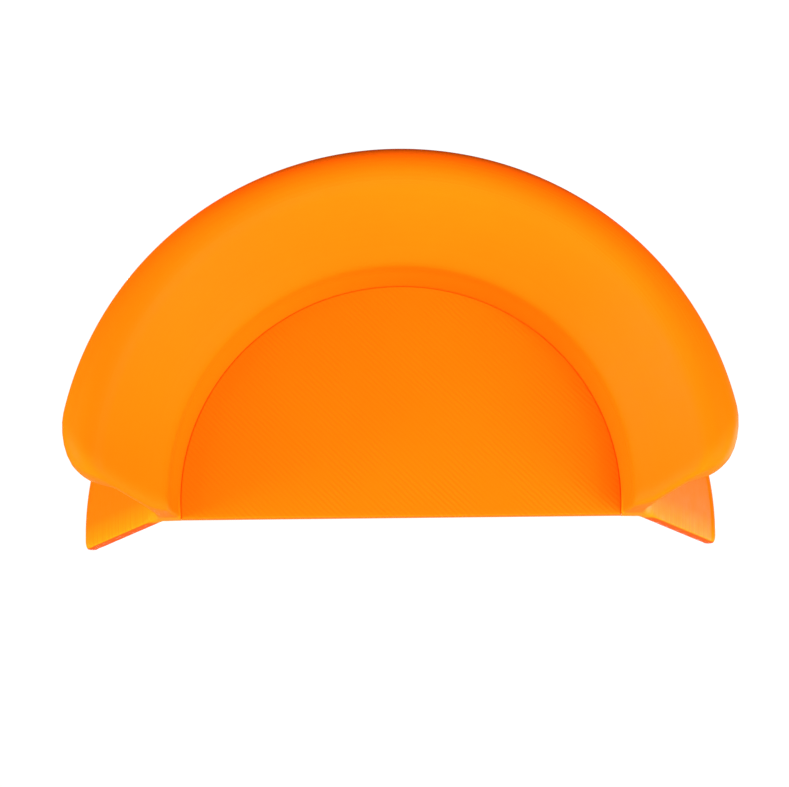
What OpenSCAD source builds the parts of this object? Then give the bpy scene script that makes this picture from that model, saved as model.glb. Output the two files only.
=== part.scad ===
// Bridle rack: a half-round grooved saddle with a flared front lip and an inset face,
// hung on a hidden dovetail block that is screwed to the wall.
// Millimetres, +Z up. The wall is the plane y = 0 and the front faces -Y.
// The origin is on the wall, midway between the two screws.

/* [Saddle] */
// Width of the ring from the recess's edge out to the lip's edge
lip_w = 26; // [23:0.5:30]
// Outer radius of the flange at the wall
flange_r = 75; // [70:0.5:84]
// Thickness of the saddle's flank
wall = 2.6; // [2:0.1:3.4]
// Thickness of the lip inside its rolled rim
lip_t = 4; // [3.4:0.1:5]
// Distance from the wall to the front of the lip
lip_depth = 61; // [58:0.5:64]
// Radius of the flare from the recess's shoulder out to the lip
flare_r = 100; // [70:5:140]
// Radius of the rolled rim on the lip
bead_r = 6.5; // [5.5:0.1:7.5]
// Radius of the rim at the wall
rim_r = 1.6; // [1.4:0.1:2.4]
// Radius of the groove's floor
groove_floor_r = 12; // [9:0.5:14]
// How far the saddle runs below its axis
skirt_drop = 4.5; // [3:0.5:8]
// Radius of the lip's rounded lower ends
lobe_r = 11; // [7:0.5:14]
// Height of the lip's lower ends above the skirt's edge
lobe_rise = 3.2; // [2:0.2:8]

/* [Face] */
// Radius of the recess that the face sits in
recess_r = 50; // [47:0.2:52]
// Distance from the wall to the front of the face
face_depth = 34.5; // [32:0.5:37]
// Depth of the recess in front of the face
recess_depth = 9; // [7:0.5:10]
// How far the recess's wall leans out over that depth
recess_lean = 3; // [2:0.2:4]
// Radius that softens the shoulder between the recess and the flare
shoulder_round = 7; // [5:0.5:8]
// Thickness of the face panel
panel_t = 2.4; // [1.6:0.1:3.2]
// Gap round the panel's curved edge
panel_gap = 0.2; // [0.1:0.05:0.4]
// Width of the ledge behind the panel
ledge_w = 3.4; // [2:0.2:6]
// Thickness of the ledge
ledge_t = 2.4; // [1.6:0.1:3.2]
// How much wider the hollow is than the recess
heel = 5.4; // [4.8:0.1:7]

/* [Wall block] */
// Height of the block's middle above the saddle's axis
axis_drop = 29; // [27:0.5:34]
// Height of the dovetail block
block_h = 34; // [28:1:38]
// Thickness of the dovetail block
block_t = 8; // [6:0.5:9]
// Width of the block against the wall
block_w = 28; // [24:1:32]
// Undercut of each side of the block
undercut = 4; // [3:0.5:5]
// Running gap between the block and its socket
slide_gap = 0.3; // [0.2:0.05:0.4]
// Wall round the socket
socket_wall = 3; // [2.4:0.2:4]
// Thickness of the web across the back
web_t = 4; // [3:0.5:6]
// Height of the web's lower edge above the saddle's axis
web_rise = 9; // [7:0.5:10]

/* [Screws] */
// Distance between the two screws
screw_spacing = 20; // [16:1:22]
// Radius of a screw's threaded shank
shank_r = 2; // [1.75:0.25:2.5]
// Radius of a screw's plain neck inside the block
neck_r = 1.4; // [1.2:0.1:1.6]
// Radius of a screw's head
head_r = 3.9; // [3.5:0.1:4.4]
// Length of a screw
screw_len = 38; // [30:1:50]
// Gap between a screw and its hole
screw_gap = 0.25; // [0.2:0.05:0.4]

/* [Hidden] */
$fn = 128;
// One overrun for every cut
over = 1;
// Straight rim of a screw's head, and the depth and width of its cross recess
head_rim = 0.4;
cross_depth = 1.6;
cross_w = 1;
cross_span = 4.4;
// Length of a screw's point
point_len = 6;
// Chamfer round the front of the face panel
panel_chamfer = 0.3;
// The ledge stops this far above the skirt's edge
ledge_rise = 2;

// Places in the saddle's section: radius from the axis, then distance from the wall
lip_r = recess_r + lip_w;
seat_depth = face_depth - panel_t;
groove_r = flare_r - lip_t;
face_edge = [recess_r, face_depth];
shoulder = face_edge + [recess_lean, recess_depth];
bead_c = [lip_r - bead_r, lip_depth - bead_r];

// The point at distance a from p and b from q, on the right of the way from p to q
function circle_centre(p, a, q, b) =
    let (gap = norm(q - p), way = (q - p) / gap, x = (gap * gap + a * a - b * b) / (2 * gap))
    p + way * x + [way[1], -way[0]] * sqrt(a * a - x * x);

// Distance along a line from p to the circle of radius r round c, on the far side
function line_to_circle(p, dir, c, r) =
    let (m = (p - c) * dir, k = (p - c) * (p - c) - r * r)
    -m + sqrt(m * m - k);

// The flare passes through the shoulder and touches the rolled rim
flare_c = circle_centre(shoulder, flare_r, bead_c, flare_r - bead_r);
bead_on_flare = flare_c + (bead_c - flare_c) * flare_r / (flare_r - bead_r);

// The recess's wall leans out from the face's edge, and a round softens the shoulder
recess_dir = (shoulder - face_edge) / norm(shoulder - face_edge);
recess_out = [-recess_dir[1], recess_dir[0]];
round_start = face_edge - recess_out * shoulder_round;
round_c = round_start
    + recess_dir * line_to_circle(round_start, recess_dir, flare_c, flare_r - shoulder_round);
round_on_wall = round_c + recess_out * shoulder_round;
round_on_flare = flare_c + (round_c - flare_c) * flare_r / (flare_r - shoulder_round);

// The flank runs straight from the rim at the wall to the heel beside the face
rim_c = [flange_r - rim_r, rim_r];
heel_c = [recess_r + heel, seat_depth];
flank_dir = (heel_c - rim_c) / norm(heel_c - rim_c);
flank_out = [flank_dir[1], -flank_dir[0]];

// The groove's floor touches the flank and the back of the flare
heel_out = heel_c + flank_out * wall / 2;
floor_start = heel_out + flank_out * groove_floor_r;
floor_c = floor_start
    + flank_dir * line_to_circle(floor_start, flank_dir, flare_c, groove_r - groove_floor_r);
floor_on_flank = floor_c - flank_out * groove_floor_r;
floor_on_flare = flare_c + (floor_c - flare_c) * groove_r / (groove_r - groove_floor_r);

// The dovetail block and its socket
block_front_w = block_w + 2 * undercut;
socket_depth = block_t + slide_gap;
boss_depth = socket_depth + socket_wall;
boss_w = block_front_w + 2 * slide_gap + 2 * socket_wall;

// The cone under a screw's head starts here and narrows at 45 degrees
cone_top = block_t - head_rim;

// The recess's wall, the flare, its rolled rim, the flank, the heel and the groove's rounded floor
module saddle_section() {
    difference() {
        union() {
            intersection() {
                translate(flare_c) difference() {
                    circle(flare_r);
                    circle(groove_r);
                }
                translate(round_on_flare - [0, lip_t])
                    square([bead_on_flare[0] - round_on_flare[0], lip_depth]);
            }
            translate(round_c) circle(shoulder_round);
            translate(bead_c) circle(bead_r);
            translate(rim_c) circle(rim_r);
            polygon([
                rim_c - flank_out * wall / 2,
                rim_c + flank_out * wall / 2,
                floor_on_flank,
                floor_on_flare,
                round_on_flare,
                round_on_wall,
                face_edge,
                [recess_r, seat_depth],
                heel_c - flank_out * wall / 2
            ]);
        }
        translate(floor_c) circle(groove_floor_r);
    }
}

// Turns a section about the saddle's axis and keeps what lies above a height
module upper_turn(height) {
    span = 2 * (lip_r + flange_r);
    intersection() {
        rotate([90, 0, 0]) rotate_extrude() children();
        translate([-span / 2, -span / 2, height]) cube(span);
    }
}

// Takes the lip's lower ends back to rounded lobes
module lobe_cuts() {
    lobe_x = lip_r - lobe_r;
    lobe_z = lobe_rise - skirt_drop + lobe_r;
    for (side = [0, 1])
        mirror([side, 0, 0])
            translate([0, -floor_c[1], 0])
                rotate([90, 0, 0])
                    linear_extrude(lip_depth)
                        difference() {
                            polygon([
                                [floor_c[0] - groove_floor_r, -skirt_drop],
                                [floor_c[0] - groove_floor_r, -skirt_drop - over],
                                [lip_r + over, -skirt_drop - over],
                                [lip_r + over, lobe_z],
                                [lobe_x, lobe_z],
                                [lobe_x, lobe_z - lobe_r]
                            ]);
                            translate([lobe_x, lobe_z]) circle(lobe_r);
                        }
}

// The web that closes the upper part of the back, with a boss round the socket
module back_web() {
    web_front = rim_c + flank_dir * (slide_gap + web_t - rim_c[1]) / flank_dir[1];
    upper_turn(web_rise)
        polygon([
            [0, slide_gap],
            [rim_c[0], slide_gap],
            rim_c,
            web_front,
            [0, web_front[1]]
        ]);
    boss_h = axis_drop + block_h / 2 + slide_gap + socket_wall - web_rise;
    translate([-boss_w / 2, -boss_depth, web_rise])
        cube([boss_w, boss_depth - slide_gap, boss_h]);
}

// A dovetail prism that stands on the wall; grow widens and deepens it
module dovetail(height, grow) {
    linear_extrude(height)
        polygon([
            [-block_w / 2 - grow, 0],
            [block_w / 2 + grow, 0],
            [block_front_w / 2 + grow, -block_t - grow],
            [-block_front_w / 2 - grow, -block_t - grow]
        ]);
}

module saddle_shell() {
    color("darkorange")
        translate([0, 0, -axis_drop])
            difference() {
                union() {
                    difference() {
                        upper_turn(-skirt_drop) saddle_section();
                        lobe_cuts();
                    }
                    upper_turn(ledge_rise - skirt_drop)
                        translate([recess_r - ledge_w, seat_depth - ledge_t])
                            square([ledge_w + heel, ledge_t]);
                    back_web();
                }
                translate([0, 0, web_rise - over])
                    dovetail(axis_drop + block_h / 2 + slide_gap - web_rise + over, slide_gap);
            }
}

module face_panel() {
    panel_r = recess_r - panel_gap;
    color("orange")
        translate([0, 0, -axis_drop])
            upper_turn(-skirt_drop)
                polygon([
                    [0, seat_depth],
                    [panel_r, seat_depth],
                    [panel_r, face_depth - panel_chamfer],
                    [panel_r - panel_chamfer, face_depth],
                    [0, face_depth]
                ]);
}

// A screw's section: radius, then distance in front of the wall
module screw_section() {
    polygon([
        [0, block_t],
        [head_r, block_t],
        [head_r, cone_top],
        [neck_r, cone_top - head_r + neck_r],
        [neck_r, 0],
        [shank_r, 0],
        [shank_r, block_t - screw_len + point_len],
        [0, block_t - screw_len]
    ]);
}

// The section of a screw's hole: wide enough for the threaded shank to pass
module hole_section() {
    hole_r = shank_r + screw_gap;
    sink_r = head_r + screw_gap;
    polygon([
        [0, block_t + over],
        [sink_r, block_t + over],
        [sink_r, cone_top],
        [hole_r, cone_top - sink_r + hole_r],
        [hole_r, -over],
        [0, -over]
    ]);
}

module at_screws() {
    for (side = [-1, 1])
        translate([0, 0, side * screw_spacing / 2]) children();
}

module wall_bracket() {
    color("darkorange")
        difference() {
            translate([0, 0, -block_h / 2]) dovetail(block_h, 0);
            at_screws() rotate([90, 0, 0]) rotate_extrude() hole_section();
        }
}

module wall_screws() {
    color("silver")
        at_screws() difference() {
            rotate([90, 0, 0]) rotate_extrude() screw_section();
            for (turn = [0, 90])
                translate([0, -block_t, 0])
                    rotate([0, turn, 0])
                        cube([cross_span, 2 * cross_depth, cross_w], center = true);
        }
}

saddle_shell();
face_panel();
wall_bracket();
wall_screws();
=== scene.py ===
"""Bridle rack: a printed half-round saddle with an inset face, hung on a screwed dovetail block."""

import math

import bmesh
import bpy
import numpy as np
from mathutils import Matrix, Vector
from mathutils.geometry import delaunay_2d_cdt


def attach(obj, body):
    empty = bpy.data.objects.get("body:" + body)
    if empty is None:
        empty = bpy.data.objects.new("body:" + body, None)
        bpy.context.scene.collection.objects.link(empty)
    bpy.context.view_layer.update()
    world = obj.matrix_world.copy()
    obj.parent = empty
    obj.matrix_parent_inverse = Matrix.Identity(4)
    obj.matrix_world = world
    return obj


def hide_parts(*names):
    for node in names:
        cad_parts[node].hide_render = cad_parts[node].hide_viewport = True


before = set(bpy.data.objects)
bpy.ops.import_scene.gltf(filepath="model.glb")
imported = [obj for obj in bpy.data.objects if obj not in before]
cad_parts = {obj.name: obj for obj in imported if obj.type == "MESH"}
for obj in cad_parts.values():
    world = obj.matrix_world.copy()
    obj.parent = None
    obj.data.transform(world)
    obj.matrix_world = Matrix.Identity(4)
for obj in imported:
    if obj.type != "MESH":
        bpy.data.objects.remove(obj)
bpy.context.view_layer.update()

MM = 0.001
TURN = 2 * math.pi
QUARTER = TURN / 4

# Sizes in millimetres, as in the part's source
LIP_W, FLANGE_R, WALL, LIP_T = 26.0, 75.0, 2.6, 4.0
LIP_DEPTH, FLARE_R, BEAD_R, RIM_R = 61.0, 100.0, 6.5, 1.6
FLOOR_R, SKIRT = 12.0, 4.5
RECESS_R, FACE_D, PANEL_T = 50.0, 34.5, 2.4
RECESS_DEPTH, RECESS_LEAN, SHOULDER_ROUND = 9.0, 3.0, 7.0
LEDGE_W, LEDGE_T, HEEL, LEDGE_RISE = 3.4, 2.4, 5.4, 2.0
AXIS_DROP, BLOCK_H, BLOCK_T, BLOCK_W, UNDERCUT = 29.0, 34.0, 8.0, 28.0, 4.0
SLIDE_GAP, SOCKET_WALL, WEB_T, WEB_RISE = 0.3, 3.0, 4.0, 9.0
SCREW_SPACING, SHANK_R, NECK_R, HEAD_R = 20.0, 2.0, 1.4, 3.9
SCREW_LEN, SCREW_GAP, HEAD_RIM, POINT_LEN = 38.0, 0.25, 0.4, 6.0

# A roll along the shoulder, finer than the part's source: height, then reach down the wall and out
ROLL_H, ROLL_IN, ROLL_OUT = 0.7, 2.8, 5.0

# The lip's lower end, rounder than the part's source: the lobe's radius, and the slope up to it
SOFT_LOBE_R, END_SLOPE = 13.0, math.radians(21)

# How far the saddle's lower ends are rounded: across the section, then along the turn
SEAT_ENDS, WALL_ENDS, SHOULDER_ENDS = (0.3, 0.4), (0.6, 0.9), (1.4, 2.6)
LIP_ENDS, BEAD_ENDS, FLOOR_ENDS = (1.5, 4.0), (4.6, 6.6), (1.2, 2.6)
FLANK_ENDS, RIM_ENDS = (0.35, 0.5), (0.6, 1.8)

# Along the bead the rounding grows from the lip's to the bead's own and back, as a sine to this power
SWELL_POWER = 0.7
SOFTEN_PASSES = 12

# Spacing of points along the section, and the gap under which two points are one
FLAT_STEP, FRONT_STEP, ROUND_STEP, BACK_STEP = 0.7, 0.55, 0.4, 0.6
FLOOR_STEP, RIM_STEP, INNER_STEP = 0.5, 0.25, 0.9
LOW_LINE_STEP, LOW_ARC_STEP = 0.1, 0.02
SAME_POINT = 0.02

# Steps of the saddle round half its turn, and over its rounded ends
ARC_STEPS, END_STEPS = 84, 6

# Where pieces of the shell run into each other, and where the flank starts from the rim's centre
SEAT_LAP, HEEL_LAP, WEB_INSET, BOSS_INSET = 0.3, 0.2, 0.3, 0.4
RIM_REACH = 1.2
SOCKET_OVERRUN, HOLE_OVERRUN = 2.0, 1.0
LEDGE_END = 0.01

LIP_R = RECESS_R + LIP_W
SEAT_D = FACE_D - PANEL_T
GROOVE_R = FLARE_R - LIP_T


def vec(*v):
    return np.array(v, float)


def unit(v):
    return v / np.linalg.norm(v)


# Places in the saddle's section: radius from the axis, then distance from the wall
BEAD_C = vec(LIP_R - BEAD_R, LIP_DEPTH - BEAD_R)
FACE_EDGE = vec(RECESS_R, FACE_D)
SHOULDER = FACE_EDGE + vec(RECESS_LEAN, RECESS_DEPTH)


def circle_centre(p, a, q, b):
    """The point at distance a from p and b from q, on the right of the way from p to q."""
    way = unit(q - p)
    gap = np.linalg.norm(q - p)
    x = (gap**2 + a**2 - b**2) / (2 * gap)
    return p + way * x + vec(way[1], -way[0]) * math.sqrt(a**2 - x**2)


FLARE_C = circle_centre(SHOULDER, FLARE_R, BEAD_C, FLARE_R - BEAD_R)
RIM_C = vec(FLANGE_R - RIM_R, RIM_R)
HEEL_C = vec(RECESS_R + HEEL, SEAT_D)
FLANK_DIR = unit(HEEL_C - RIM_C)
FLANK_OUT = vec(FLANK_DIR[1], -FLANK_DIR[0])


def line_to_circle(p, way, c, r):
    """Distance along a line from p to the far side of a circle."""
    m = (p - c) @ way
    return -m + math.sqrt(m * m - (p - c) @ (p - c) + r * r)


WALL_DIR = unit(SHOULDER - FACE_EDGE)
WALL_OUT = vec(-WALL_DIR[1], WALL_DIR[0])
ROUND_START = FACE_EDGE - WALL_OUT * SHOULDER_ROUND
SHOULDER_C = ROUND_START + WALL_DIR * line_to_circle(
    ROUND_START, WALL_DIR, FLARE_C, FLARE_R - SHOULDER_ROUND
)
SHOULDER_ON_WALL = SHOULDER_C + WALL_OUT * SHOULDER_ROUND
SHOULDER_ON_FLARE = FLARE_C + (SHOULDER_C - FLARE_C) * FLARE_R / (FLARE_R - SHOULDER_ROUND)
FLOOR_START = HEEL_C + FLANK_OUT * (WALL / 2 + FLOOR_R)
FLOOR_C = FLOOR_START + FLANK_DIR * line_to_circle(
    FLOOR_START, FLANK_DIR, FLARE_C, GROOVE_R - FLOOR_R
)
FLOOR_ON_FLANK = FLOOR_C - FLANK_OUT * FLOOR_R
FLOOR_ON_FLARE = FLARE_C + (FLOOR_C - FLARE_C) * GROOVE_R / (GROOVE_R - FLOOR_R)
FLOOR_LOW = FLOOR_C[0] - FLOOR_R


def angle_of(p, c):
    """The direction from c to p."""
    return math.atan2(p[1] - c[1], p[0] - c[0])


def arc(c, r, a0, a1, step):
    a = np.linspace(a0, a1, max(3, int(abs(a1 - a0) * r / step) + 1))
    return np.stack([c[0] + r * np.cos(a), c[1] + r * np.sin(a)], 1)


def line(p, q, step):
    t = np.linspace(0, 1, max(2, int(np.linalg.norm(q - p) / step) + 1))[:, None]
    return p * (1 - t) + q * t


def saddle_loop():
    """The saddle's closed outline, and how far each point's lower end is rounded across and along."""
    to_bead = angle_of(BEAD_C, FLARE_C)
    reach = np.linalg.norm(BEAD_C - FLARE_C)
    spread = math.acos((reach**2 + GROOVE_R**2 - BEAD_R**2) / (2 * reach * GROOVE_R))
    back_a = to_bead + spread
    back_p = FLARE_C + GROOVE_R * vec(math.cos(back_a), math.sin(back_a))
    flare_a = angle_of(SHOULDER_ON_FLARE, FLARE_C)
    floor_a = angle_of(FLOOR_ON_FLARE, FLARE_C)
    shoulder_a0 = angle_of(SHOULDER_ON_WALL, SHOULDER_C)
    shoulder_a1 = angle_of(SHOULDER_ON_FLARE, SHOULDER_C)
    floor_a0 = angle_of(FLOOR_ON_FLARE, FLOOR_C) % TURN
    floor_a1 = angle_of(FLOOR_ON_FLANK, FLOOR_C) % TURN
    slip = math.asin(WALL / 2 / RIM_R)
    side = math.atan2(FLANK_DIR[1], FLANK_DIR[0])
    half_wall = FLANK_OUT * WALL / 2
    rim_joint = RIM_C + FLANK_DIR * RIM_REACH
    bead = arc(BEAD_C, BEAD_R, to_bead, angle_of(back_p, BEAD_C) % TURN - TURN, ROUND_STEP)
    swell = np.sin(np.linspace(0, 1, len(bead)) * math.pi) ** SWELL_POWER
    rows = [
        (line(vec(RECESS_R, SEAT_D - SEAT_LAP), FACE_EDGE, FLAT_STEP), SEAT_ENDS),
        (line(FACE_EDGE, SHOULDER_ON_WALL, FRONT_STEP), WALL_ENDS),
        (arc(SHOULDER_C, SHOULDER_ROUND, shoulder_a0, shoulder_a1, ROUND_STEP), SHOULDER_ENDS),
        (arc(FLARE_C, FLARE_R, flare_a, to_bead, FRONT_STEP), LIP_ENDS),
        (bead, [lip + (full - lip) * swell for lip, full in zip(LIP_ENDS, BEAD_ENDS)]),
        (arc(FLARE_C, GROOVE_R, back_a, floor_a, BACK_STEP), LIP_ENDS),
        (arc(FLOOR_C, FLOOR_R, floor_a0, floor_a1, FLOOR_STEP), FLOOR_ENDS),
        (line(FLOOR_ON_FLANK, rim_joint + half_wall, FLAT_STEP), FLANK_ENDS),
        (arc(RIM_C, RIM_R, side - slip, side + slip - TURN, RIM_STEP), RIM_ENDS),
        (line(rim_joint - half_wall, HEEL_C - half_wall, INNER_STEP), FLANK_ENDS),
    ]
    points, across, along = [], [], []
    for row, ends in rows:
        row_across, row_along = (np.broadcast_to(e, len(row)) for e in ends)
        repeats = bool(points) and np.linalg.norm(row[0] - points[-1]) < SAME_POINT
        first = 1 if repeats else 0
        points += list(row[first:])
        across += list(row_across[first:])
        along += list(row_along[first:])
    return roll_shoulder(np.array(points)), soften(across), soften(along)


def roll_shoulder(p):
    """Raises a soft roll along the shoulder, fading down the wall and out along the flare."""
    run = np.concatenate([[0], np.cumsum(np.linalg.norm(np.diff(p, axis=0), axis=1))])
    run = run - run[np.argmin(np.linalg.norm(p - SHOULDER, axis=1))]
    lift = ROLL_H * np.exp(-((run / np.where(run < 0, ROLL_IN, ROLL_OUT)) ** 2))
    return p + loop_normals(p) * lift[:, None]


def soften(values):
    """Evens out values round a loop."""
    v = np.array(values, float)
    for _ in range(SOFTEN_PASSES):
        v = (np.roll(v, 1) + 2 * v + np.roll(v, -1)) / 4
    return v


def loop_normals(p):
    """Outward normals of a loop that keeps the solid on its right."""
    t = np.roll(p, -1, 0) - np.roll(p, 1, 0)
    n = np.stack([-t[:, 1], t[:, 0]], 1)
    return n / np.linalg.norm(n, axis=1)[:, None]


# Height of the lip's lower end by radius: a sloping line, then the lobe's circle that it touches
LOBE_X = LIP_R - SOFT_LOBE_R
LOBE_Z = (LOBE_X - FLOOR_LOW) * math.tan(END_SLOPE) + SOFT_LOBE_R / math.cos(END_SLOPE) - SKIRT
LOW_ARC = arc(vec(LOBE_X, LOBE_Z), SOFT_LOBE_R, END_SLOPE - QUARTER, 0, LOW_ARC_STEP)
LOW_LINE = line(vec(FLOOR_LOW, -SKIRT), LOW_ARC[0], LOW_LINE_STEP)
LOW_EDGE = np.concatenate([LOW_LINE, LOW_ARC[1:]])
LOW_EDGE_R = np.hypot(LOW_EDGE[:, 0], LOW_EDGE[:, 1])


def saddle_low(r, d):
    """Height of the saddle's lower end above its axis, by radius and distance from the wall."""
    on_lip = (d > FLOOR_C[1]) & (r > FLOOR_LOW)
    return np.where(on_lip, np.interp(r, LOW_EDGE_R, LOW_EDGE[:, 1]), -SKIRT)


def ledge_low(r, d):
    return np.full_like(r, LEDGE_RISE - SKIRT)


def place(r, d, angle):
    """Points in the part's frame, in metres, of section points turned from the crown by an angle."""
    return np.stack([r * np.sin(angle), -d, r * np.cos(angle) - AXIS_DROP], -1) * MM


def turned(loop, across, along, low):
    """Vertices and faces of a loop turned about the saddle's axis, its lower ends rounded and capped."""
    normals = loop_normals(loop)
    rounded = []
    for k in range(END_STEPS + 1):
        t = k / END_STEPS * QUARTER
        p = loop - normals * (across * (1 - math.sin(t)))[:, None]
        end = np.arccos(np.clip(low(p[:, 0], p[:, 1]) / p[:, 0], -1, 1))
        rounded.append((p, end - along * (1 - math.cos(t)) / p[:, 0]))
    last = rounded[-1][1]
    half = rounded + [(loop, last * (1 - k / ARC_STEPS)) for k in range(1, ARC_STEPS)]
    stations = [(p, -a) for p, a in half] + [(loop, last * 0)] + half[::-1]
    verts = np.concatenate([place(p[:, 0], p[:, 1], a) for p, a in stations])
    m = len(loop)
    i = np.arange(m)
    j = (i + 1) % m
    faces = []
    for s in range(len(stations) - 1):
        a, b = s * m, (s + 1) * m
        faces += np.stack([a + i, a + j, b + j, b + i], 1).tolist()
    edges = [(int(x), int(y)) for x, y in zip(i, j)]
    cap = delaunay_2d_cdt([Vector(p) for p in stations[0][0]], edges, [], 1, 1e-6)
    for f in cap[2]:
        face = [cap[3][v][0] for v in f]
        faces.append(face)
        faces.append([(len(stations) - 1) * m + v for v in face[::-1]])
    return verts, faces


def linked(name, data):
    ob = bpy.data.objects.new(name, data)
    bpy.context.scene.collection.objects.link(ob)
    return ob


def mesh_object(name, verts, faces):
    me = bpy.data.meshes.new(name)
    me.from_pydata([tuple(v) for v in verts], [], [tuple(int(i) for i in f) for f in faces])
    bm = bmesh.new()
    bm.from_mesh(me)
    bmesh.ops.recalc_face_normals(bm, faces=bm.faces)
    bm.to_mesh(me)
    bm.free()
    return linked(name, me)


def smooth(ob, degrees=32):
    ob.data.polygons.foreach_set("use_smooth", [True] * len(ob.data.polygons))
    ob.data.set_sharp_from_angle(angle=math.radians(degrees))


def settle(ob):
    """Applies an object's modifiers to its mesh."""
    dg = bpy.context.evaluated_depsgraph_get()
    me = bpy.data.meshes.new_from_object(ob.evaluated_get(dg))
    old = ob.data
    ob.modifiers.clear()
    ob.data = me
    bpy.data.meshes.remove(old)


def combine(ob, others, operation):
    """Joins other solids to an object, or cuts them from it, and removes them."""
    for o in others:
        mod = ob.modifiers.new("join", "BOOLEAN")
        mod.operation, mod.solver, mod.object = operation, "EXACT", o
    settle(ob)
    for o in others:
        bpy.data.objects.remove(o)


def bevel(ob, width, segments=3, angle=30):
    mod = ob.modifiers.new("bevel", "BEVEL")
    mod.width, mod.segments, mod.limit_method = width * MM, segments, "ANGLE"
    mod.angle_limit = math.radians(angle)
    settle(ob)


def prism(name, loops):
    """A solid through matching loops of points in metres, closed by a face at each end."""
    m = len(loops[0])
    i = np.arange(m)
    j = (i + 1) % m
    faces = [list(range(m))[::-1], list(range((len(loops) - 1) * m, len(loops) * m))]
    for s in range(len(loops) - 1):
        a, b = s * m, (s + 1) * m
        faces += np.stack([a + i, a + j, b + j, b + i], 1).tolist()
    return mesh_object(name, np.concatenate(loops), faces)


def upright(name, outline, z0, z1):
    """A prism on an outline of x and y, from one height to another."""
    return prism(name, [np.array([[x, y, z] for x, y in outline]) * MM for z in (z0, z1)])


def dovetail(name, z0, z1, grow):
    back, front = BLOCK_W / 2 + grow, BLOCK_W / 2 + UNDERCUT + grow
    deep = BLOCK_T + grow
    return upright(name, [(-back, 0), (back, 0), (front, -deep), (-front, -deep)], z0, z1)


def cut_disc(r, low, d, points=160):
    """A disc about the saddle's axis, less what lies below a height, at a distance from the wall."""
    end = math.acos(low / r)
    return place(np.full(points, r), np.full(points, d), np.linspace(-end, end, points))


def lathe(name, profile, z, points=64):
    """A solid turned about a line along Y at a height: radius, then distance in front of the wall."""
    a = np.arange(points) / points * TURN
    loops = [
        np.stack([r * np.cos(a), np.full(points, -d), z + r * np.sin(a)], 1) * MM for r, d in profile
    ]
    return prism(name, loops)


# The saddle shell, printed in one piece with its ledge, web and socket
BOSS_EDGE = 0.6

loop, across, along = saddle_loop()
shell = mesh_object("shell", *turned(loop, across, along, saddle_low))

ledge_in, ledge_out = RECESS_R - LEDGE_W, RECESS_R + HEEL - HEEL_LAP
ledge_back = SEAT_D - LEDGE_T
ledge_loop = np.array(
    [[ledge_in, ledge_back], [ledge_in, SEAT_D], [ledge_out, SEAT_D], [ledge_out, ledge_back]]
)
square = np.zeros(len(ledge_loop))
ledge = mesh_object("ledge", *turned(ledge_loop, square, square + LEDGE_END, ledge_low))

slope = FLANK_DIR[0] / FLANK_DIR[1]
web_r = RIM_C[0] - WEB_INSET
web_far = SLIDE_GAP + WEB_T
web = prism(
    "web",
    [
        cut_disc(web_r, WEB_RISE, SLIDE_GAP),
        cut_disc(web_r, WEB_RISE, RIM_C[1]),
        cut_disc(web_r + slope * (web_far - RIM_C[1]), WEB_RISE, web_far),
    ],
)
boss_half = (BLOCK_W + 2 * UNDERCUT + 2 * SLIDE_GAP + 2 * SOCKET_WALL) / 2
boss_back, boss_front = -SLIDE_GAP - BOSS_INSET, -(BLOCK_T + SLIDE_GAP + SOCKET_WALL)
boss_low, socket_top = WEB_RISE - AXIS_DROP, BLOCK_H / 2 + SLIDE_GAP
boss_outline = [
    (-boss_half, boss_front),
    (boss_half, boss_front),
    (boss_half, boss_back),
    (-boss_half, boss_back),
]
boss = upright("boss", boss_outline, boss_low, socket_top + SOCKET_WALL)
bevel(boss, BOSS_EDGE)
combine(shell, [ledge, web, boss], "UNION")
socket = dovetail("socket", boss_low - SOCKET_OVERRUN, socket_top, SLIDE_GAP)
combine(shell, [socket], "DIFFERENCE")
smooth(shell)
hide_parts("saddle_shell")
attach(shell, "rack")

# The face panel, with a fine seam and softened edges
SEAM, FRONT_EDGE, BACK_EDGE = 0.04, 0.3, 0.2
EDGE_POINTS, PANEL_POINTS = 5, 240


def panel_loop(inset, d):
    return cut_disc(RECESS_R - SEAM - inset, -SKIRT + inset, d, PANEL_POINTS)


front_rounds = [
    (FRONT_EDGE * (1 - math.cos(t)), FACE_D - FRONT_EDGE * (1 - math.sin(t)))
    for t in np.linspace(0, QUARTER, EDGE_POINTS)
]
panel_rows = [(BACK_EDGE, SEAT_D), (0, SEAT_D + BACK_EDGE)] + front_rounds
panel = prism("panel", [panel_loop(inset, d) for inset, d in panel_rows])
smooth(panel)
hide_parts("face_panel")
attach(panel, "rack")

# The wall block, with countersunk holes
BLOCK_EDGE = 0.5
CONE_TOP = BLOCK_T - HEAD_RIM
SCREW_HEIGHTS = (SCREW_SPACING / 2, -SCREW_SPACING / 2)

bracket = dovetail("bracket", -BLOCK_H / 2, BLOCK_H / 2, 0)
bevel(bracket, BLOCK_EDGE)
hole_r, sink_r = SHANK_R + SCREW_GAP, HEAD_R + SCREW_GAP
hole_profile = [
    (hole_r, -HOLE_OVERRUN),
    (hole_r, CONE_TOP - sink_r + hole_r),
    (sink_r, CONE_TOP),
    (sink_r, BLOCK_T + HOLE_OVERRUN),
]
combine(bracket, [lathe("hole", hole_profile, z) for z in SCREW_HEIGHTS], "DIFFERENCE")
smooth(bracket)
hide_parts("wall_bracket")
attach(bracket, "wall_mount")

# The wall screws: countersunk heads with a cross recess, plain necks and threaded shanks
PITCH, CORE_R, THREAD_INSET = 1.8, 1.35, 0.01
CREST_R = SHANK_R - THREAD_INSET
THREAD_LEN = SCREW_LEN - BLOCK_T
THREAD_POINTS = 40

# The thread's outline: share of the pitch, then share of the thread's height
THREAD_SHARES = [(0.0, 0.0), (0.26, 0.0), (0.46, 1.0), (0.54, 1.0), (0.74, 0.0)]

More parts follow.
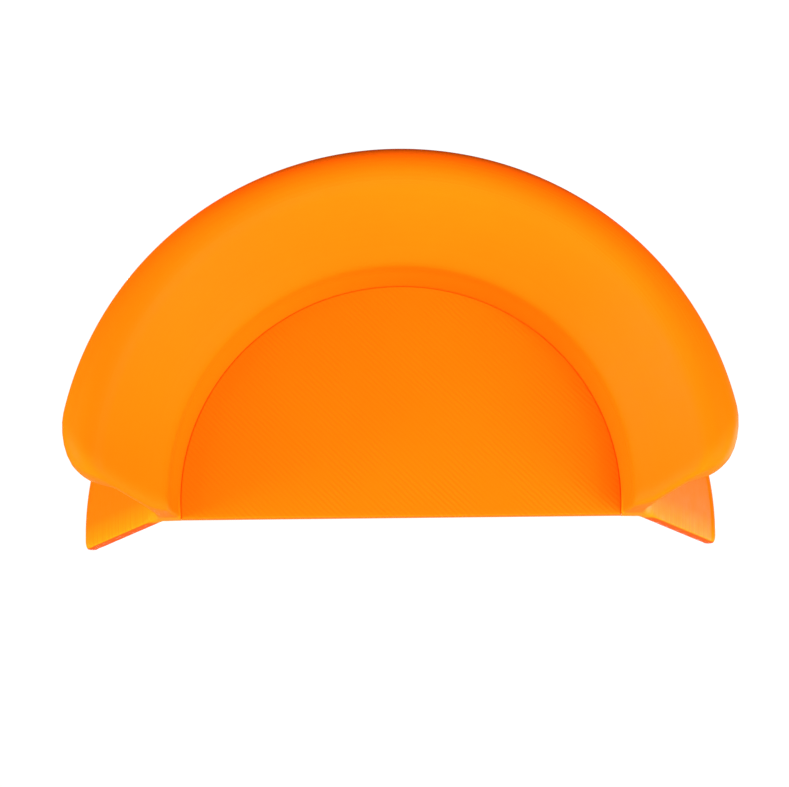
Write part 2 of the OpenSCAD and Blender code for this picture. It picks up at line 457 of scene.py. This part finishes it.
# The thread fades out towards the point, which keeps a share of the core's radius
FADE_LEN, LEAST_TAPER_SHARE, POINT_SHARE = 3.0, 0.04, 0.12

# Gaps closed in the thread's mesh, in metres
WELD, SLIVER = 2e-6, 1e-6

# The head: the neck's tuck into the shank, softened edges, and the cross by half length and half width
TUCK_R, TUCK_D, NECK_START = 0.3, 0.4, 0.2
CONE_EDGE, HEAD_EDGE = 0.05, 0.12
CROSS_DEPTH, CROSS_OVERRUN = 1.6, 0.5
CROSS_FLOOR, CROSS_TOP, CROSS_OUT = (0.9, 0.3), (2.2, 0.5), (2.3, 0.52)


def clamp(value):
    return min(1, max(0, value))


def thread(name):
    """A threaded, pointed shank whose rows follow the helix, from the wall plane into the wall."""
    turns = int(THREAD_LEN / PITCH) + 2
    rows = [(k + f, h) for k in range(-1, turns) for f, h in THREAD_SHARES]
    n = len(rows)
    lead = len(THREAD_SHARES)
    verts = []
    for i in range(THREAD_POINTS):
        a = i / THREAD_POINTS * TURN
        for q, h in rows:
            s = PITCH * (q + i / THREAD_POINTS)
            fade = clamp(s / PITCH) * clamp((THREAD_LEN - s) / FADE_LEN)
            s = min(max(s, 0), THREAD_LEN)
            taper = min(1, max(LEAST_TAPER_SHARE, (THREAD_LEN - s) / POINT_LEN))
            full_r = CORE_R + h * fade * (CREST_R - CORE_R)
            r = full_r * (POINT_SHARE + (1 - POINT_SHARE) * taper)
            verts.append((r * math.cos(a) * MM, s * MM, r * math.sin(a) * MM))
    faces = []
    for i in range(THREAD_POINTS):
        for k in range(n - 1):
            here = i * n + k
            if i + 1 < THREAD_POINTS:
                faces.append((here, here + 1, here + n + 1, here + n))
            elif k + 1 + lead < n:
                faces.append((here, here + 1, k + 1 + lead, k + lead))
    me = bpy.data.meshes.new(name)
    me.from_pydata(verts, [], faces)
    bm = bmesh.new()
    bm.from_mesh(me)
    bmesh.ops.remove_doubles(bm, verts=bm.verts, dist=WELD)
    bmesh.ops.dissolve_degenerate(bm, dist=SLIVER, edges=bm.edges)
    bmesh.ops.holes_fill(bm, edges=[e for e in bm.edges if e.is_boundary], sides=0)
    bmesh.ops.recalc_face_normals(bm, faces=bm.faces)
    bm.to_mesh(me)
    bm.free()
    return linked(name, me)


def cross(size, d):
    """A cross-shaped loop on a screw's head, at a distance in front of the wall."""
    long, wide = size
    arm = [(long, -wide), (long, wide), (wide, wide)]
    corners = []
    for _ in range(4):
        corners += arm
        arm = [(-z, x) for x, z in arm]
    return np.array([[x, -d, z] for x, z in corners]) * MM


screws = thread("screws")
head_profile = [
    (NECK_R - TUCK_R, -TUCK_D),
    (NECK_R, NECK_START),
    (NECK_R, CONE_TOP - HEAD_R + NECK_R),
    (HEAD_R - CONE_EDGE, CONE_TOP - CONE_EDGE),
    (HEAD_R, CONE_TOP + CONE_EDGE),
    (HEAD_R, BLOCK_T - HEAD_EDGE),
    (HEAD_R - HEAD_EDGE, BLOCK_T),
]
combine(screws, [lathe("head", head_profile, 0)], "UNION")
cross_rows = [
    cross(CROSS_FLOOR, BLOCK_T - CROSS_DEPTH),
    cross(CROSS_TOP, BLOCK_T),
    cross(CROSS_OUT, BLOCK_T + CROSS_OVERRUN),
]
combine(screws, [prism("recess", cross_rows)], "DIFFERENCE")
both = bmesh.new()
for z in SCREW_HEIGHTS:
    was = len(both.verts)
    both.from_mesh(screws.data)
    both.verts.ensure_lookup_table()
    bmesh.ops.translate(both, verts=both.verts[was:], vec=(0, 0, z * MM))
both.to_mesh(screws.data)
both.free()
smooth(screws, 28)
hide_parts("wall_screws")
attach(screws, "wall_mount")


class Finish:
    """A material's nodes, with its coordinates in millimetres."""

    def __init__(self, name):
        self.mat = bpy.data.materials.new(name)
        self.mat.use_nodes = True
        self.tree = self.mat.node_tree
        self.bsdf = self.tree.nodes["Principled BSDF"]
        coords = self.tree.nodes.new("ShaderNodeTexCoord")
        scaled = self.tree.nodes.new("ShaderNodeVectorMath")
        scaled.operation = "SCALE"
        scaled.inputs["Scale"].default_value = 1 / MM
        self.link(coords.outputs["Object"], scaled.inputs[0])
        self.p = scaled.outputs[0]
        split = self.tree.nodes.new("ShaderNodeSeparateXYZ")
        self.link(self.p, split.inputs[0])
        self.x, self.y, self.z = split.outputs
        facing = self.tree.nodes.new("ShaderNodeSeparateXYZ")
        self.link(coords.outputs["Normal"], facing.inputs[0])
        self.facing_z = facing.outputs[2]

    def link(self, value, socket):
        if isinstance(value, bpy.types.NodeSocket):
            self.tree.links.new(value, socket)
        else:
            socket.default_value = value

    def math(self, operation, *values):
        node = self.tree.nodes.new("ShaderNodeMath")
        node.operation = operation
        for value, socket in zip(values, node.inputs):
            self.link(value, socket)
        return node.outputs[0]

    def add(self, *values):
        total = values[0]
        for v in values[1:]:
            total = self.math("ADD", total, v)
        return total

    def times(self, *values):
        product = values[0]
        for v in values[1:]:
            product = self.math("MULTIPLY", product, v)
        return product

    def noise(self, scale, detail=2.0, along=None):
        """Noise from 0 to 1, in space or along one coordinate; scale is per millimetre."""
        node = self.tree.nodes.new("ShaderNodeTexNoise")
        if along is None:
            self.link(self.p, node.inputs["Vector"])
        else:
            node.noise_dimensions = "1D"
            self.link(along, node.inputs["W"])
        node.inputs["Scale"].default_value = scale
        node.inputs["Detail"].default_value = detail
        return node.outputs["Fac"]

    def waves(self, coord, pitch, wander):
        """Lines across a coordinate, from -1 to 1."""
        phase = self.add(self.times(coord, TURN / pitch), wander)
        return self.math("SINE", phase)

    def span(self, value, lo, hi, to_lo, to_hi):
        """A value taken from one range to another and held at its ends."""
        node = self.tree.nodes.new("ShaderNodeMapRange")
        keys = ("Value", "From Min", "From Max", "To Min", "To Max")
        for v, key in zip((value, lo, hi, to_lo, to_hi), keys):
            self.link(v, node.inputs[key])
        return node.outputs[0]

    def blend(self, share, a, b):
        node = self.tree.nodes.new("ShaderNodeMix")
        node.data_type = "RGBA"
        self.link(share, node.inputs["Factor"])
        self.link(a, node.inputs["A"])
        self.link(b, node.inputs["B"])
        return node.outputs["Result"]

    def bump(self, height):
        """Bump from a height in millimetres."""
        node = self.tree.nodes.new("ShaderNodeBump")
        node.inputs["Distance"].default_value = MM
        self.link(height, node.inputs["Height"])
        self.link(node.outputs[0], self.bsdf.inputs["Normal"])

    def set(self, key, value):
        self.link(value, self.bsdf.inputs[key])


def colour(rgb, factor=1.0):
    return tuple(min(1.0, c * factor) for c in rgb) + (1.0,)


# The range that most noise falls in, and the finer noises' detail
NOISE_LO, NOISE_HI, FINE = 0.3, 0.7, 3

# Printed plastic: colour, roughness, and factors for its random darker and lighter tones, for painted
# shade on the flank, for a strip of painted light, and for painted shade on down-turned ends
ORANGE = (0.9, 0.108, 0.0009)
RACK_ROUGH, BLOCK_ROUGH, SMOOTHER, ROUGHER = 0.48, 0.5, 0.05, 0.06
PLASTIC_SPECULAR = 0.015
DARKER, LIGHTER, FLANK_SHADE, LIT_STRIP, UNDERSIDE_SHADE = 0.93, 1.06, 0.78, 1.5, 0.5

# Scales of the plastic's noises, per millimetre
CLOUD, GRAIN, UNEVEN, LAYER_DRIFT = 0.05, 3.5, 1.4, 0.25
HATCH_DRIFT, PATCH, STREAK, STROKE, ROUGH_SPOT = 0.6, 0.12, 1.1, 1.6, 0.4

# Layer lines and the face's diagonal lines: spacing, how far they wander in radians, and their heights
LAYER_PITCH, HATCH_PITCH, WANDER = 0.25, 1.0, 2.5
LAYER_BUMP, UNEVEN_BUMP, GRAIN_BUMP, HATCH_BUMP, STREAK_BUMP = 0.006, 0.03, 0.006, 0.022, 0.016

# Shares of clouds and lines in the colour, and the patches where diagonal lines show more or less
CLOUD_SHARE, UNEVEN_SHARE = 0.7, 0.3
FACE_CLOUD_SHARE, HATCH_SHARE, FACE_BASE_SHARE = 0.6, 0.45, 0.15
PATCH_LO, PATCH_HI, PATCH_LEAST_SHARE = 0.35, 0.65, 0.25

# The saddle's lower ends: their height, the strip of painted light above them, and how far forward each
# reaches
END_Z, STRIP_H, STRIP_D, STRIP_FADE = -AXIS_DROP - SKIRT, 6.0, 36.0, 1.0
STROKE_LEAST_SHARE = 0.45
# Painted shade on down-turned faces of the lower ends: how far forward it reaches, its fade, and the
# facing where it starts and is full
UNDERSIDE_SHADE_D, UNDERSIDE_SHADE_FADE, UNDERSIDE_FACING, UNDERSIDE_FULL = 31.0, 2.0, -0.7, -0.9

# Where the painted shade on the flank behind the lip starts and is full, from the wall, and its share
FLANK_SHADE_FROM, FLANK_SHADE_FULL, FLANK_SHADE_SHARE = 46.0, 28.0, 0.8


def layered(f, cloud, grain):
    """Height and tone of printed layers along Y."""
    drift = f.times(f.noise(LAYER_DRIFT), WANDER)
    uneven = f.noise(UNEVEN, FINE, f.y)
    layers = f.waves(f.y, LAYER_PITCH, drift)
    height = f.add(
        f.times(layers, f.times(uneven, LAYER_BUMP)),
        f.times(uneven, UNEVEN_BUMP),
        f.times(grain, GRAIN_BUMP),
    )
    return height, f.add(f.times(cloud, CLOUD_SHARE), f.times(uneven, UNEVEN_SHARE))


def hatched(f, cloud, grain):
    """Height and tone of a flat face's diagonal top lines."""
    diagonal = f.times(f.add(f.x, f.z), math.sqrt(0.5))
    lines = f.waves(diagonal, HATCH_PITCH, f.times(f.noise(HATCH_DRIFT), WANDER))
    patches = f.span(f.noise(PATCH), PATCH_LO, PATCH_HI, PATCH_LEAST_SHARE, 1.0)
    height = f.add(
        f.times(lines, f.times(patches, HATCH_BUMP)),
        f.times(f.noise(STREAK, FINE, diagonal), STREAK_BUMP),
        f.times(grain, GRAIN_BUMP),
    )
    strength = f.times(patches, HATCH_SHARE)
    tone = f.add(f.times(cloud, FACE_CLOUD_SHARE), f.times(lines, strength), FACE_BASE_SHARE)
    return height, tone


def with_ends(f, base, rgb):
    """The saddle's colour, with painted shade on the flank behind the lip, a strip of painted light low
    on it, and painted shade on down-turned ends.
    """
    # Painted shade: the flank behind the lip, towards the wall, is darkened
    deep = f.span(f.y, -FLANK_SHADE_FROM, -FLANK_SHADE_FULL, 0.0, FLANK_SHADE_SHARE)
    base = f.blend(deep, base, colour(rgb, FLANK_SHADE))
    low = f.span(f.z, END_Z, END_Z + STRIP_H, 1.0, 0.0)
    flank = f.span(f.y, -STRIP_D, STRIP_FADE - STRIP_D, 0.0, 1.0)
    strokes = f.span(f.noise(STROKE, along=f.y), NOISE_LO, NOISE_HI, STROKE_LEAST_SHARE, 1.0)
    # Painted light: a lighter strip, broken by strokes, low on the flank above the lower ends
    base = f.blend(f.times(low, flank, strokes), base, colour(rgb, LIT_STRIP))
    # Painted shade: faces turned down at the flank's lower ends are darkened
    behind = f.span(f.y, -UNDERSIDE_SHADE_D, UNDERSIDE_SHADE_FADE - UNDERSIDE_SHADE_D, 0.0, 1.0)
    facing_down = f.span(f.facing_z, UNDERSIDE_FACING, UNDERSIDE_FULL, 0.0, 1.0)
    return f.blend(f.times(facing_down, behind, low), base, colour(rgb, UNDERSIDE_SHADE))


def printed(name, rgb, rough, hatch=False, ends=False):
    """Printed plastic, with layer lines or diagonal lines, and, if asked, the saddle's painted shade and
    painted light near its lower ends.
    """
    f = Finish(name)
    cloud, grain = f.noise(CLOUD, FINE), f.noise(GRAIN, FINE)
    height, tone = hatched(f, cloud, grain) if hatch else layered(f, cloud, grain)
    f.bump(height)
    base = f.blend(tone, colour(rgb, DARKER), colour(rgb, LIGHTER))
    f.set("Base Color", with_ends(f, base, rgb) if ends else base)
    spots = f.noise(ROUGH_SPOT, FINE)
    f.set("Roughness", f.span(spots, NOISE_LO, NOISE_HI, rough - SMOOTHER, rough + ROUGHER))
    f.set("Specular IOR Level", PLASTIC_SPECULAR)
    return f.mat


# Zinc-plated steel: colours, roughness, scales of its noises per millimetre, and heights of its grain
ZINC_WARM, ZINC_PALE = (0.60, 0.57, 0.50), (0.74, 0.73, 0.70)
ZINC_SMOOTH, ZINC_ROUGH = 0.28, 0.42
ZINC_SPOT, TURNED_GRAIN, ZINC_GRAIN = 0.9, 9.0, 5.0
TURNED_BUMP, ZINC_BUMP = 0.012, 0.004


def steel(name):
    """Zinc-plated steel with a fine turned grain."""
    f = Finish(name)
    spots = f.noise(ZINC_SPOT, FINE)
    turned_grain = f.noise(TURNED_GRAIN, along=f.y)
    f.bump(f.add(f.times(turned_grain, TURNED_BUMP), f.times(f.noise(ZINC_GRAIN), ZINC_BUMP)))
    f.set("Base Color", f.blend(spots, colour(ZINC_WARM), colour(ZINC_PALE)))
    f.set("Roughness", f.span(spots, NOISE_LO, NOISE_HI, ZINC_SMOOTH, ZINC_ROUGH))
    f.set("Metallic", 1.0)
    return f.mat


shell.data.materials.append(printed("shell_plastic", ORANGE, RACK_ROUGH, ends=True))
panel.data.materials.append(printed("face_plastic", ORANGE, RACK_ROUGH, hatch=True))
bracket.data.materials.append(printed("block_plastic", ORANGE, BLOCK_ROUGH))
screws.data.materials.append(steel("screw_steel"))

# A pale floor below the rack, in metres
STAGE_HALF, STAGE_Z = 9.0, -1.3
PALE, PALER = (0.80, 0.80, 0.79), (0.84, 0.84, 0.83)
PALE_CLOUD, PALE_ROUGH = 0.01, 0.9

stage_corners = [(-1, -1), (1, -1), (1, 1), (-1, 1)]
floor = mesh_object(
    "floor", [(x * STAGE_HALF, y * STAGE_HALF, STAGE_Z) for x, y in stage_corners], [(0, 1, 2, 3)]
)
pale = Finish("floor_pale")
pale.set("Base Color", pale.blend(pale.noise(PALE_CLOUD, FINE), colour(PALE), colour(PALER)))
pale.set("Roughness", PALE_ROUGH)
floor.data.materials.append(pale.mat)

# Soft lights round the rack: azimuth from the front to the right, elevation, then power in watts
LIGHT_AIM = Vector((0, -0.03, 0))
LIGHT_FAR, LIGHT_SIZE = 1.1, 0.5
LIGHTS = {
    "left": (-80, -12, 21.0),
    "near_left": (-50, 0, 6.0),
    "low_left": (-50, -35, 1.5),
    "low": (0, -30, 2.0),
    "low_front": (25, -30, 7.5),
    "low_right": (50, -30, 2.5),
    "far_right": (80, -35, 5.0),
    "right": (50, -12, 12.0),
    "rim": (130, 0, 8.4),
    "back": (180, 10, 14.0),
}


def square_light(name, size, power):
    data = bpy.data.lights.new(name, "AREA")
    data.shape, data.size, data.energy = "SQUARE", size, power
    return linked(name, data)


for name, (azimuth, elevation, power) in LIGHTS.items():
    a, e = math.radians(azimuth), math.radians(elevation)
    way = Vector((math.sin(a) * math.cos(e), -math.cos(a) * math.cos(e), math.sin(e)))
    light = square_light(name, LIGHT_SIZE, power)
    light.location = LIGHT_AIM + way * LIGHT_FAR
    light.rotation_euler = way.to_track_quat("Z", "Y").to_euler()

# A wide light below the rack that shines down on the floor alone
WASH_SIZE, WASH_POWER, WASH_Z = 18.0, 800, -0.5
square_light("wash", WASH_SIZE, WASH_POWER).location = (0, 0, WASH_Z)

# A white background for the camera, and a dim one for the light that falls on the rack
WHITE = (1, 1, 1, 1)
DIM, BRIGHT = 0.12, 1.05

world = bpy.data.worlds.new("world")
bpy.context.scene.world = world
world.use_nodes = True
tree = world.node_tree
dim = tree.nodes["Background"]
bright = tree.nodes.new("ShaderNodeBackground")
for background, strength in ((dim, DIM), (bright, BRIGHT)):
    background.inputs["Color"].default_value = WHITE
    background.inputs["Strength"].default_value = strength
seen = tree.nodes.new("ShaderNodeLightPath")
pick = tree.nodes.new("ShaderNodeMixShader")
tree.links.new(seen.outputs["Is Camera Ray"], pick.inputs[0])
tree.links.new(dim.outputs[0], pick.inputs[1])
tree.links.new(bright.outputs[0], pick.inputs[2])
tree.links.new(pick.outputs[0], tree.nodes["World Output"].inputs["Surface"])
bpy.context.scene.view_settings.view_transform = "Standard"

# The camera, fitted to the photograph's outline: pixels, degrees and metres
PHOTO_W, FOCAL_PX, SENSOR_MM = 789, 2768.1, 36
CAM_PITCH, CAM_YAW, CAM_ROLL = 15.018, 0.19, -0.657
CAM_AT = (-0.0032, -0.6471, -0.1691)

pitch, yaw, roll = (math.radians(a) for a in (CAM_PITCH, CAM_YAW, CAM_ROLL))
ahead = vec(math.sin(yaw) * math.cos(pitch), math.cos(yaw) * math.cos(pitch), math.sin(pitch))
level_right = vec(math.cos(yaw), -math.sin(yaw), 0)
level_up = np.cross(level_right, ahead)
right = math.cos(roll) * level_right + math.sin(roll) * level_up
up = -math.sin(roll) * level_right + math.cos(roll) * level_up
pose = Matrix.Identity(4)
for row in range(3):
    pose[row][0], pose[row][1], pose[row][2] = right[row], up[row], -ahead[row]
pose.translation = Vector(CAM_AT)
cam_data = bpy.data.cameras.new("camera")
cam_data.sensor_fit = "HORIZONTAL"
cam_data.sensor_width = SENSOR_MM
cam_data.lens = FOCAL_PX / PHOTO_W * SENSOR_MM
cam = linked("camera", cam_data)
cam.matrix_world = pose
bpy.context.scene.camera = cam
